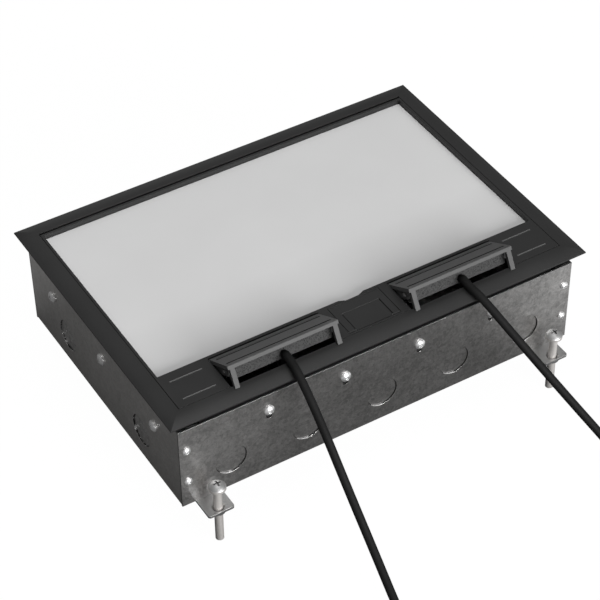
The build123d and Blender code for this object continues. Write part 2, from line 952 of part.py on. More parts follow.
with BuildPart() as carrier_screws:
    for side in (-1, 1):
        domed_screw(
            along_x(side * (carrier_x - carrier_sheet), tab_y, rail_z, -side),
            rail_screw_radius - pin_clearance,
            carrier_sheet + rail,
            rail_screw_head,
            2.3,
            1.7,
        )
keep("carrier_screws", carrier_screws)


def module_body(x):
    """Front plate on the carrier's face and the body that fills one place of the window."""
    wide = module_pitch / 2 - module_gap
    tall = window_half - module_gap
    front = carrier_y - module_front
    slab(x - wide, x + wide, front, carrier_y, socket_z - window_half - module_lip, socket_z + window_half + module_lip)
    slab(x - wide, x + wide, carrier_y, carrier_y + module_depth, socket_z - tall, socket_z + tall)
    return front


def make_socket(x):
    """A round recessed socket outlet with two contact holes."""
    with BuildPart() as outlet:
        front = module_body(x)
        rod(along_y(x, front, socket_z), socket_recess, socket_recess_depth, mode=Mode.SUBTRACT)
        for side in (-1, 1):
            rod(
                along_y(x + side * pin_pitch / 2, front + socket_recess_depth, socket_z),
                pin_hole,
                pin_depth,
                mode=Mode.SUBTRACT,
            )
    return outlet


keep("socket_left", make_socket(-plug_x))
keep("socket_right", make_socket(plug_x))

# Data module with two ports
with BuildPart() as data_module:
    data_x = -2 * module_pitch
    front = module_body(data_x)
    for side in (-1, 1):
        x = data_x + side * port_pitch / 2
        slab(
            x - port_width / 2,
            x + port_width / 2,
            front,
            front + port_depth,
            socket_z - port_height / 2,
            socket_z + port_height / 2,
            Mode.SUBTRACT,
        )
keep("data_module", data_module)

with BuildPart() as blank_modules:
    for x in (0, 2 * module_pitch):
        module_body(x)
keep("blank_modules", blank_modules)

# Earth stud with washer and nut
with BuildPart() as earth_stud:
    rod(along_z(stud_x, stud_y, box_bottom), stud_radius, sheet + stud_height)
    chamfer(earth_stud.edges().sort_by(Axis.Z)[-1], 0.6)
keep("earth_stud", earth_stud)

with BuildPart() as earth_nut:
    with BuildSketch(Plane.XY.offset(base_top)):
        with Locations((stud_x, stud_y)):
            Circle(stud_washer)
            Circle(stud_radius + pin_clearance, mode=Mode.SUBTRACT)
    extrude(amount=1.0)
    with BuildSketch(Plane.XY.offset(base_top + 1.0)):
        with Locations((stud_x, stud_y)):
            RegularPolygon(stud_nut, 6)
            Circle(stud_radius + pin_clearance, mode=Mode.SUBTRACT)
    extrude(amount=stud_nut_height)
keep("earth_nut", earth_nut)


def make_plug(x):
    """Round moulded plug with two pins and a tapered cord relief, seated in its socket."""
    face = carrier_y - module_front
    recess_end = face + socket_recess_depth
    seat = along_y(x, recess_end - 0.4, socket_z, -1)
    body = socket_recess - plug_fit
    deep = socket_recess_depth - 0.4
    turning = Plane(origin=seat.origin, x_dir=(0, -1, 0), z_dir=(-1, 0, 0))
    with BuildPart() as plug:
        with BuildSketch(turning):
            with BuildLine():
                grip_end = deep + plug_grip_length
                Polyline((0, 0), (0, body - 1), (1, body), (deep + 0.5, body), (deep + 0.5, plug_grip), (deep + 5, plug_grip))
                Spline(
                    (deep + 5, plug_grip),
                    (deep + 13, plug_grip - 4.5),
                    (grip_end, plug_neck - 3),
                    tangents=((1, 0), (1, -0.25)),
                )
                Polyline(
                    (grip_end, plug_neck - 3),
                    (grip_end, relief_thick),
                    (grip_end + relief_length, relief_thin),
                    (grip_end + relief_length, 0),
                    (0, 0),
                )
            make_face()
        revolve(axis=Axis(seat.origin, (0, -1, 0)))
        for side in (-1, 1):
            pin = along_y(x + side * pin_pitch / 2, recess_end - 0.4, socket_z)
            rod(pin, pin_hole - 0.4, pin_depth)
    return plug


plug_end_y = carrier_y - module_front - plug_grip_length - relief_length


def cord_tube(points):
    """The cord's tube along straight runs and tangent arcs, and its arcs' radii."""
    path = [Vector(*p) for p in points]
    radii = []
    for before, at, after in zip(path, path[1:], path[2:]):
        arriving = at - before
        leaving = after - at
        turn = radians(arriving.get_angle(leaving))
        shorter = min(arriving.length, leaving.length)
        radii.append(0.45 * shorter * cos(turn / 2) / sin(turn / 2))
    with BuildPart() as tube:
        with BuildLine() as route:
            FilletPolyline(*points, radius=radii)
        run = route.wire()
        with BuildSketch(Plane(origin=points[0], z_dir=run % 0)):
            Circle(cord_radius)
        sweep(path=run)
    length = run.length
    solid = tube.part.volume / (3.141593 * cord_radius**2)
    print("cord radii", [round(r, 1) for r in radii])
    print("cord length", round(length, 1), "volume over section", round(solid, 1))
    return tube


# Routes of the two cords, from the plug, up past the foam, over the trim and down to the floor
left_route = [
    (-plug_x, plug_end_y, socket_z),
    (-plug_x, lid_front + 22.9, socket_z),
    (-57.5, lid_front + 3.1, lid_top - 20.5),
    (-58.5, lid_front + 2.8, lid_top + 6.0),
    (-60.2, lid_front - 12.6, lid_top + 6.2),
    (-59.6, lid_front - 33.6, lid_top - 14.5),
    (-58.0, lid_front - 61.6, lid_top - 46.0),
    (-57.2, lid_front - 90.6, lid_top - 76.0),
    (-61.0, lid_front - left_cord_down, cord_on_floor),
    (-65.0, lid_front - left_cord_end, cord_on_floor),
]
right_route = [
    (plug_x, plug_end_y, socket_z),
    (plug_x, lid_front + 22.9, socket_z),
    (60.5, lid_front + 3.1, lid_top - 20.5),
    (60.5, lid_front + 2.8, lid_top + 6.0),
    (57.2, lid_front - 12.6, lid_top + 6.2),
    (68.8, lid_front - 33.6, lid_top - 14.5),
    (86.7, lid_front - 61.6, lid_top - 46.0),
    (104.5, lid_front - 86.6, lid_top - 77.0),
    (112.0, lid_front - right_cord_down, cord_on_floor),
    (113.5, lid_front - right_cord_end, cord_on_floor),
]
keep("left_cord", cord_tube(left_route))
keep("right_cord", cord_tube(right_route))


def coil_frame(route, side):
    """Centre of the coil, the cord's heading where it joins, and the way across to the centre."""
    before = Vector(*route[-2])
    end = Vector(*route[-1])
    heading = (end - before).normalized()
    across = Vector(heading.Y, -heading.X, 0) * side
    outer = coil_radius + coil_half_width - cord_radius
    return end + across * outer, heading, across, outer


def tail_plane(route, side):
    """Where the top outer turn leaves the coil, a quarter turn on from where the cord joins."""
    centre, heading, across, outer = coil_frame(route, side)
    start = centre + heading * outer
    return Plane(origin=(start.X, start.Y, coil_top_turn), z_dir=across)


def make_coil(route, side):
    """The wound cord's outer shape, with the straight tail that leads to the connector."""
    centre, heading = coil_frame(route, side)[:2]
    with BuildPart() as coil:
        with BuildSketch(Plane.XY):
            with Locations((centre.X, centre.Y)):
                Circle(coil_radius + coil_half_width)
                Circle(coil_radius - coil_half_width, mode=Mode.SUBTRACT)
        extrude(amount=2 * cord_radius * coil_layers)
        fillet(coil.edges().filter_by(GeomType.CIRCLE), cord_radius * 0.8)
        rod(tail_plane(route, side), cord_radius, coil_tail)
        joining = Plane(origin=route[-1], z_dir=-heading)
        rod(joining, cord_radius + pin_clearance, coil_radius, mode=Mode.SUBTRACT)
    return coil


def make_connector(route, side):
    """Two-pole connector at the cord's far end, lying on the floor beside the coil."""
    start = tail_plane(route, side).offset(coil_tail)
    body = start.offset(connector_relief)
    flat = Plane(origin=body.origin, x_dir=body.z_dir.cross(Vector(0, 0, 1)), z_dir=body.z_dir)
    shoulder = flat.offset(connector_length / 4)
    with BuildPart() as connector:
        with BuildSketch(start):
            Circle(relief_thin)
        with BuildSketch(body):
            Circle(relief_thick)
        loft()
        with BuildSketch(flat):
            RectangleRounded(connector_width - 5, connector_height - 3, 4)
        with BuildSketch(shoulder):
            RectangleRounded(connector_width, connector_height, 5)
        loft()
        with BuildSketch(shoulder):
            RectangleRounded(connector_width, connector_height, 5)
        extrude(amount=connector_length * 3 / 4)
        with BuildSketch(flat.offset(connector_length)):
            with Locations((-4, 0), (4, 0)):
                Circle(1.6)
        extrude(amount=-12, mode=Mode.SUBTRACT)
    return connector


for hand, route, side, x in (("left", left_route, 1, -plug_x), ("right", right_route, -1, plug_x)):
    keep(f"{hand}_plug", make_plug(x))
    keep(f"{hand}_cord_coil", make_coil(route, side))
    keep(f"{hand}_connector", make_connector(route, side))
    middle, run = coil_frame(route, side)[:2]
    print(hand, "coil centre", round(middle.X, 2), round(middle.Y, 2), "heading", round(run.X, 4), round(run.Y, 4))
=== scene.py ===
import math

import bpy
import numpy as np
from mathutils import Matrix, Vector
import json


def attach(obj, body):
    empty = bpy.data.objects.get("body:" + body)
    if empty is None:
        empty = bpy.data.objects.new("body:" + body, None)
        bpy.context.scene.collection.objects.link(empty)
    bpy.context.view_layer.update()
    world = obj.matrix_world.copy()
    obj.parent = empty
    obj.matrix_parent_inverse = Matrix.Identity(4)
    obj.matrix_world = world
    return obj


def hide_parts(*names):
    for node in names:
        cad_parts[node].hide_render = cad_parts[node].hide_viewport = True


# Floor socket box with two leads. Everything is in metres, in the CAD frame, apart from the cords'
# routes, which are in millimetres.

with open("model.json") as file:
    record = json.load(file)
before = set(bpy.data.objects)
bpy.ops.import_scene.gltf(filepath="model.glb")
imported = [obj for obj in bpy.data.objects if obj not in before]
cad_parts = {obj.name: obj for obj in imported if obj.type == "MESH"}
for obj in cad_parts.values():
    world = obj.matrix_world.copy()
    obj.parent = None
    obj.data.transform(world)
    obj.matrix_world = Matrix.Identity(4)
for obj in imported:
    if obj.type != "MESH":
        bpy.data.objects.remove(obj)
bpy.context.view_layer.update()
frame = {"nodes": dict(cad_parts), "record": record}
cad = frame["nodes"]
scene = bpy.context.scene

# Camera at the photo's angle

photoView = {
    "azimuth": -30.859,
    "elevation": 42.3058,
    "roll": -0.7752,
    "aimHeight": 0.0952,
    "distance": 1.223438,
    "right": 0.0013407,
    "up": -0.0354203,
    "sensorWidth": 36,
    "focalInSensorWidths": 3.473243,
    "clipStart": 0.05,
    "clipEnd": 50,
}


def makeCamera(values):
    azimuth = math.radians(values["azimuth"])
    elevation = math.radians(values["elevation"])
    roll = math.radians(values["roll"])
    back = Vector((
        math.sin(azimuth) * math.cos(elevation),
        -math.cos(azimuth) * math.cos(elevation),
        math.sin(elevation),
    ))
    level = (-back).cross(Vector((0, 0, 1))).normalized()
    upright = level.cross(-back)
    right = level * math.cos(roll) + upright * math.sin(roll)
    up = upright * math.cos(roll) - level * math.sin(roll)
    data = bpy.data.cameras.new("photoCamera")
    data.sensor_width = values["sensorWidth"]
    data.lens = values["sensorWidth"] * values["focalInSensorWidths"]
    data.clip_start = values["clipStart"]
    data.clip_end = values["clipEnd"]
    camera = bpy.data.objects.new("photoCamera", data)
    place = Vector((0, 0, values["aimHeight"])) + back * values["distance"]
    place += right * values["right"] + up * values["up"]
    camera.matrix_world = Matrix((
        (right.x, up.x, back.x, place.x),
        (right.y, up.y, back.y, place.y),
        (right.z, up.z, back.z, place.z),
        (0, 0, 0, 1),
    ))
    scene.collection.objects.link(camera)
    scene.camera = camera


makeCamera(photoView)
print("camera placed")

# Cords: one curve each, from the plug's relief to the connector, the unused length in a flat coil

cordValues = {
    "diameter": 0.005,
    "length": 1.8,
    "turnsAcross": 4,  # turns in each of the coil's two layers
    "rise": 0.25,  # turns on the way up to the second layer
    "pitch": 0.00506,  # from turn to turn
    "coilRadius": 0.029,  # about the middle of the turns
    "stepDegrees": 15,
    "tail": 0.023,  # from the coil to the connector
    "roundness": 6,
    "smoothness": 8,
}
cordRoutes = {
    "left": [
        (-45.0, -33.0, 52.7),
        (-45.0, -62.5, 52.7),
        (-57.5, -82.3, 74.7),
        (-57.4, -81.2, 92.3),
        (-57.6, -80.2, 98.4),
        (-58.4, -90.1, 98.2),
        (-59.3, -98.9, 97.1),
        (-59.0, -119.0, 80.5),
        (-58.0, -147.0, 49.2),
        (-57.2, -176.0, 19.2),
        (-61.0, -207.0, 2.5),
        (-65.0, -236.0, 2.5),
    ],
    "right": [
        (45.0, -33.0, 52.7),
        (45.0, -62.5, 52.7),
        (60.5, -82.3, 74.7),
        (61.0, -81.2, 92.3),
        (60.6, -80.2, 98.3),
        (59.8, -90.4, 98.0),
        (61.2, -99.4, 97.2),
        (69.6, -119.4, 80.6),
        (86.7, -147.0, 49.2),
        (104.5, -172.0, 18.2),
        (112.0, -200.0, 2.5),
        (113.5, -224.0, 2.5),
    ],
}


def coilPoints(before, end, side, values):
    # Inwards in the lower layer, up, outwards in the upper one, then straight on to the connector.
    # The radius shrinks by the pitch for each turn in and grows by it for each turn out.
    heading = (end - before).normalized()
    across = Vector((heading.y, -heading.x, 0)) * side
    half = values["diameter"] / 2
    outer = values["coilRadius"] + values["turnsAcross"] * half
    centre = end + across * outer
    turns = 2 * values["turnsAcross"] + values["rise"]
    count = int(round(turns * 360 / values["stepDegrees"]))
    points = []
    for i in range(1, count + 1):
        turn = turns * i / count
        inward = min(turn, values["turnsAcross"])
        outward = max(turn - values["turnsAcross"] - values["rise"], 0)
        radius = outer - values["pitch"] * (inward - outward)
        lift = min(max((turn - values["turnsAcross"]) / values["rise"], 0), 1)
        angle = 2 * math.pi * turn
        point = centre + (heading * math.sin(angle) - across * math.cos(angle)) * radius
        point.z = half + 2 * half * lift
        points.append(point)
    points.append(points[-1] + across * values["tail"])
    return points


def makeCord(name, route, side, values):
    points = [Vector(p) / 1000 for p in route]
    points += coilPoints(points[-2], points[-1], side, values)
    data = bpy.data.curves.new(name, "CURVE")
    data.dimensions = "3D"
    data.bevel_depth = 1.0  # each point's radius gives the thickness
    data.bevel_resolution = values["roundness"]
    data.resolution_u = values["smoothness"]
    data.use_fill_caps = True
    spline = data.splines.new("NURBS")
    spline.points.add(len(points) - 1)
    for at, p in zip(spline.points, points):
        at.co = (p.x, p.y, p.z, 1)
        at.radius = values["diameter"] / 2
    spline.order_u = 3
    spline.use_endpoint_u = True
    cord = bpy.data.objects.new(name, data)
    scene.collection.objects.link(cord)
    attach(cord, "box")
    return cord, points[0]


cords = []
for hand, side in (("left", 1), ("right", -1)):
    cord, leaves = makeCord(hand + "Lead", cordRoutes[hand], side, cordValues)
    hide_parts(hand + "_cord", hand + "_cord_coil")
    cords.append(cord)
print("cords laid")

# Foam under the flaps: one strip each, pressed in where the cord passes

flapPlace = {
    "pivotY": -0.06125,
    "pivotZ": 0.094,
    "tilt": 30.0,
    "centre": 0.0589,
}
foamValues = {
    "front": 0.0178,  # from the hinge, along the flap's plate
    "thickness": 0.0040,
    "top": -0.0012,  # out of the plate
    "depth": 0.0081,
    "halfLength": 0.0323,
    "corner": 0.0006,
    "swell": 0.0003,
    "clear": 0.00253,  # from the cord's middle line
    "steps": 200,
    "sideSteps": 14,
    "cornerSteps": 4,
    "linePoints": (2, 8),  # the route's points that pass the foam
    "lineSteps": 30,
}


def cordLine(route, values):
    # A quadratic B-spline: (1 - t)^2 / 2, 1 / 2 + t - t^2 and t^2 / 2 of three neighbouring points
    points = np.array(route) / 1000
    t = np.linspace(0, 1, values["lineSteps"])[:, None]
    parts = []
    for i in range(*values["linePoints"]):
        before, here, after = points[i - 1], points[i], points[i + 1]
        parts.append((1 - t) ** 2 / 2 * before + (0.5 + t - t * t) * here + t * t / 2 * after)
    return np.concatenate(parts)


def foamSection(values):
    # A rounded rectangle in the flap's side view: a walk round four corners, each a quarter circle
    r = values["corner"]
    halfS, halfN = values["thickness"] / 2 - r, values["depth"] / 2 - r
    middleS = values["front"] - values["thickness"] / 2
    middleN = values["top"] - values["depth"] / 2
    ring = []
    corners = ((halfS, -halfN, -90), (halfS, halfN, 0), (-halfS, halfN, 90), (-halfS, -halfN, 180))
    for i, (s, n, start) in enumerate(corners):
        for k in range(values["cornerSteps"] + 1):
            turn = math.radians(start + 90 * k / values["cornerSteps"])
            ring.append((s + r * math.cos(turn), n + r * math.sin(turn)))
        nextS, nextN = corners[(i + 1) % 4][:2]
        a = np.array(ring[-1])
        turn = math.radians(start + 90)
        b = np.array((nextS + r * math.cos(turn), nextN + r * math.sin(turn)))
        for k in range(1, values["sideSteps"]):
            ring.append(tuple(a + (b - a) * k / values["sideSteps"]))
    ring = np.array(ring)
    # The front swells by swell (1 - v^2), v from -1 to 1 over the strip's depth
    v = ring[:, 1] / (values["depth"] / 2)
    ring[:, 0] += (ring[:, 0] > 0) * values["swell"] * (1 - v**2)
    return ring + np.array((middleS, middleN)), (middleS, middleN)


def foamFaces(steps, count):
    # Four-sided faces from ring to ring, then a fan of triangles at each end
    i, k = np.meshgrid(np.arange(steps), np.arange(count), indexing="ij")
    a, b = i * count + k, i * count + (k + 1) % count
    sides = np.stack((a, a + count, b + count, b), axis=-1).reshape(-1, 4)
    last = steps * count
    k = np.arange(count)
    after = (k + 1) % count
    start = np.column_stack((np.full(count, last + count), k, after))
    end = np.column_stack((np.full(count, last + count + 1), last + after, last + k))
    fans = np.stack((start, end), axis=1).reshape(-1, 3)
    return sides.tolist(), fans.tolist()


def makeFoam(hand, side, route, values, place):
    ring, (middleS, middleN) = foamSection(values)
    count = len(ring)
    x = np.linspace(-values["halfLength"], values["halfLength"], values["steps"] + 1)
    s, n = np.tile(ring[:, 0], len(x)), np.tile(ring[:, 1], len(x))
    x = np.repeat(x, count)
    x = np.append(x, (-values["halfLength"], values["halfLength"]))
    s, n = np.append(s, (middleS, middleS)), np.append(n, (middleN, middleN))
    # s along the plate and n out of it: y = pivot - s cos + n sin, z = pivot + s sin + n cos
    tilt = math.radians(place["tilt"])
    points = np.column_stack((
        side * place["centre"] + x,
        place["pivotY"] - s * math.cos(tilt) + n * math.sin(tilt),
        place["pivotZ"] + s * math.sin(tilt) + n * math.cos(tilt),
    ))
    # A point nearer to the cord's middle line than clear moves straight away from it, to that
    # distance
    line = cordLine(route, values)
    apart = points[:, None, :] - line[None, :, :]
    far = np.linalg.norm(apart, axis=2)
    nearest = far.argmin(axis=1)
    away, reach = apart[np.arange(len(points)), nearest], far.min(axis=1)
    grow = np.maximum(values["clear"] / np.maximum(reach, 1e-6), 1)
    points = points + away * (grow - 1)[:, None]
    sides, fans = foamFaces(values["steps"], count)
    mesh = bpy.data.meshes.new(hand + "Foam")
    mesh.from_pydata(points.tolist(), [], sides + fans)
    mesh.polygons.foreach_set("use_smooth", [True] * len(sides) + [False] * len(fans))
    foam = bpy.data.objects.new(hand + "Foam", mesh)
    scene.collection.objects.link(foam)
    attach(foam, hand + "_flap")
    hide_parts("flap_foam_" + hand)
    return foam


foams = []
for hand, side in (("left", -1), ("right", 1)):
    foams.append(makeFoam(hand, side, cordRoutes[hand], foamValues, flapPlace))
print("foam fitted")

# Materials. NodeTree is a short way to write one material's nodes.

edgeSamples = 6
noiseMiddle = (0.3, 0.7)  # where most values of a noise lie


class NodeTree:
    def __init__(self, name):
        self.material = bpy.data.materials.new(name)
        self.material.use_nodes = True
        self.tree = self.material.node_tree
        self.shader = self.tree.nodes["Principled BSDF"]
        self.place = self.add("ShaderNodeTexCoord").outputs["Object"]

    def add(self, kind):
        return self.tree.nodes.new(kind)

    def feed(self, socket, value):
        if isinstance(value, bpy.types.NodeSocket):
            self.tree.links.new(value, socket)
        else:
            socket.default_value = value

    def set(self, inputs):
        for name, value in inputs.items():
            self.feed(self.shader.inputs[name], value)

    def noise(self, scale, detail=3.0, roughness=0.5, place=None):
        node = self.add("ShaderNodeTexNoise")
        self.feed(node.inputs["Vector"], place or self.place)
        node.inputs["Scale"].default_value = scale
        node.inputs["Detail"].default_value = detail
        node.inputs["Roughness"].default_value = roughness
        return node.outputs["Fac"]

    def cells(self, scale, output="Distance"):
        node = self.add("ShaderNodeTexVoronoi")
        self.feed(node.inputs["Vector"], self.place)
        node.inputs["Scale"].default_value = scale
        return node.outputs[output]

    def spread(self, value, low, high, toLow=0, toHigh=1):
        node = self.add("ShaderNodeMapRange")
        self.feed(node.inputs["Value"], value)
        node.inputs["From Min"].default_value = low
        node.inputs["From Max"].default_value = high
        node.inputs["To Min"].default_value = toLow
        node.inputs["To Max"].default_value = toHigh
        return node.outputs["Result"]

    def math(self, operation, a, b=0.0):
        node = self.add("ShaderNodeMath")
        node.operation = operation
        self.feed(node.inputs[0], a)
        self.feed(node.inputs[1], b)
        return node.outputs["Value"]

    def plus(self, a, b):
        return self.math("ADD", a, b)

    def minus(self, a, b):
        return self.math("SUBTRACT", a, b)

    def times(self, a, b):
        return self.math("MULTIPLY", a, b)

    def size(self, value):
        return self.math("ABSOLUTE", value)

    def near(self, value, middle, within):
        node = self.add("ShaderNodeMath")
        node.operation = "COMPARE"
        self.feed(node.inputs[0], value)
        node.inputs[1].default_value = middle
        node.inputs[2].default_value = within
        return node.outputs["Value"]

    def blendColour(self, factor, first, second):
        node = self.add("ShaderNodeMix")
        node.data_type = "RGBA"
        self.feed(node.inputs["Factor"], factor)
        self.feed(node.inputs["A"], first)
        self.feed(node.inputs["B"], second)
        return node.outputs["Result"]

    def stretched(self, stretch):
        node = self.add("ShaderNodeMapping")
        self.feed(node.inputs["Vector"], self.place)
        node.inputs["Scale"].default_value = stretch
        return node.outputs["Vector"]

    def split(self):
        node = self.add("ShaderNodeSeparateXYZ")
        self.feed(node.inputs["Vector"], self.place)
        return node.outputs

    def bump(self, height, strength, distance, edge=0.0):
        node = self.add("ShaderNodeBump")
        self.feed(node.inputs["Height"], height)
        node.inputs["Strength"].default_value = strength
        node.inputs["Distance"].default_value = distance
        if edge:
            rounding = self.add("ShaderNodeBevel")
            rounding.samples = edgeSamples
            rounding.inputs["Radius"].default_value = edge
            self.tree.links.new(rounding.outputs["Normal"], node.inputs["Normal"])
        self.tree.links.new(node.outputs["Normal"], self.shader.inputs["Normal"])


def grey(value, warm=0.0):
    return (value * (1 + warm), value, value * (1 - warm), 1)


# Moulded plastic: two sizes of grain, slight cloudiness in its colour and its gloss

plasticValues = {
    "clouds": 38,
    "darkerCloud": 0.92,
    "lighterCloud": 1.08,
    "coarseGrain": 900,
    "coarseHeight": 0.6,
    "fineInGloss": 0.5,
    "glossRange": (0.4, 1.1),
    "glossSpan": 0.05,
    "paintedShadeShare": 0.04,
    "paintedHighlightGrey": 0.085,
    "bumpStrength": 0.35,
}


def grainedPlastic(
    name, value, roughness, edge, grain=2600, depth=0.00002, specular=0.32, paintedShade=None, light=None
):
    values = plasticValues
    m = NodeTree(name)
    cloud = m.noise(values["clouds"], detail=4)
    fine = m.noise(grain, detail=2)
    broad = m.cells(values["coarseGrain"])
    colour = m.blendColour(
        m.spread(cloud, *noiseMiddle),
        grey(value * values["darkerCloud"]),
        grey(value * values["lighterCloud"]),
    )
    gloss = m.plus(cloud, m.times(fine, values["fineInGloss"]))
    span = values["glossSpan"]
    gloss = m.spread(gloss, *values["glossRange"], roughness - span, roughness + span)
    # Painted shade: dark lines and gaps where shade falls
    if paintedShade:
        shade = paintedShade(m)
        colour = m.blendColour(shade, colour, grey(value * values["paintedShadeShare"]))
        gloss = m.math("MAXIMUM", gloss, shade)
    # Painted highlight: light lines where grooves catch the light
    if light:
        colour = m.blendColour(light(m), colour, grey(values["paintedHighlightGrey"]))
    m.set({"Base Color": colour, "Roughness": gloss, "Specular IOR Level": specular})
    height = m.plus(fine, m.times(broad, values["coarseHeight"]))
    m.bump(height, values["bumpStrength"], depth, edge)
    return m.material


# Painted shade: the two dark lines on each flap's plate, standing for its shaded grooves

flapShadeLines = {
    "rear": 0.0057,  # from the hinge, along the plate
    "front": 0.0192,
    "half": 0.0008,
    "halfLength": 0.0335,
    "top": 0.0012,  # out of the plate
    "below": 0.0002,
    "within": 0.0004,
}


def flapGrooveShade(m):
    # One inside the lines: s = dz sin - dy cos along the plate, n = dz cos + dy sin out of it
    values = flapShadeLines
    tilt = math.radians(flapPlace["tilt"])
    axes = m.split()
    behind = m.minus(axes["Y"], flapPlace["pivotY"])
    above = m.minus(axes["Z"], flapPlace["pivotZ"])
    along = m.minus(m.times(above, math.sin(tilt)), m.times(behind, math.cos(tilt)))
    out = m.plus(m.times(above, math.cos(tilt)), m.times(behind, math.sin(tilt)))
    rear = m.near(along, values["rear"], values["half"])
    front = m.near(along, values["front"], values["half"])
    ends = m.near(m.size(axes["X"]), flapPlace["centre"], values["halfLength"])
    inside = m.times(m.plus(rear, front), ends)
    return m.times(inside, m.near(out, values["top"] - values["below"], values["within"]))


# Painted highlight: the light lines at the two ends of the lid's front strip, where the grooves'
# lit walls catch the light

stripHighlightLines = {
    "front": -0.07995,
    "rear": -0.06485,
    "half": 0.0005,
    "fromMiddle": 0.11105,
    "halfLength": 0.0102,
    "above": 0.0946,
}


def stripGrooveHighlight(m):
    # One inside the lines
    values = stripHighlightLines
    axes = m.split()
    front = m.near(axes["Y"], values["front"], values["half"])
    rear = m.near(axes["Y"], values["rear"], values["half"])
    ends = m.near(m.size(axes["X"]), values["fromMiddle"], values["halfLength"])
    inside = m.times(m.plus(front, rear), ends)
    return m.times(inside, m.math("GREATER_THAN", axes["Z"], values["above"]))


# Painted shade: the dark gap between the border and the box

gapShadeValues = {
    "middle": 0.0878,
    "half": 0.0044,
}


def borderGapShade(m):
    # One on the skirts, between the border's lower edge and the box's top
    return m.near(m.split()["Z"], gapShadeValues["middle"], gapShadeValues["half"])


# Zinc-coated sheet: small frosted spangles, cloudy patches and faint rolling streaks

sheetValues = {
    "light": 0.50,
    "darkest": 0.68,
    "lightest": 1.27,
    "warmth": 0.014,
    "spangles": 520,
    "clouds": 42,
    "patches": 180,
    "streaks": 90,
    "streakStretch": (0.4, 0.4, 6),
    "fine": 1100,
    "spangleWeight": 0.26,
    "patchWeight": 0.55,
    "fineWeight": 0.75,
    "cloudWeight": 0.55,
    "streakWeight": 0.08,
    "mottleRange": (0.85, 1.35),
    "glossRange": (0.8, 1.4),
    "roughness": (0.330, 0.305),
    "metallic": 0.95,
    "spangleHeight": 0.35,
    "bumpStrength": 0.02,
    "bumpDepth": 0.00005,
    "edge": 0.0003,
    "sideFrom": 0.1314,  # a side wall's face, from the middle of the box, and where it ends
    "sideUpTo": 0.0909,
    "sideCalm": 0.55,
    "sideShade": 0.98,
    "sideWarmth": 0.03,
    # Painted shade: the sheets' upper edges darker under the border, the cut top face darkest
    "lipFrom": 0.0841,  # the sheets' upper edges
    "lipShade": 0.75,
    "topFrom": 0.08446,
    "topShadeGrey": 0.10,
}
# The walls that the shears left round each knockout, seen where its disc is set in
shearedValues = {
    "panel": 0.09178,  # from the middle of the box
    "side": 0.13158,
    "half": 0.00036,
    # The next two greys: painted shade on the walls, and a painted highlight at each knockout's
    # lowest point, also used for the lighter patches on the sides
    "paintedShade": 0.015,
    "bright": 0.85,
    "lessMetal": 0.45,
    "pitch": 0.05,
    "highlightX": -0.0033,  # from a knockout's centre
    "highlightHalfX": 0.0038,
    "highlightZ": 0.0382,
    "highlightHalfZ": 0.0018,
    "sidePatches": 520,
    "sidePatchRange": (0.48, 0.56),
    "sidePatchShare": 0.45,
}


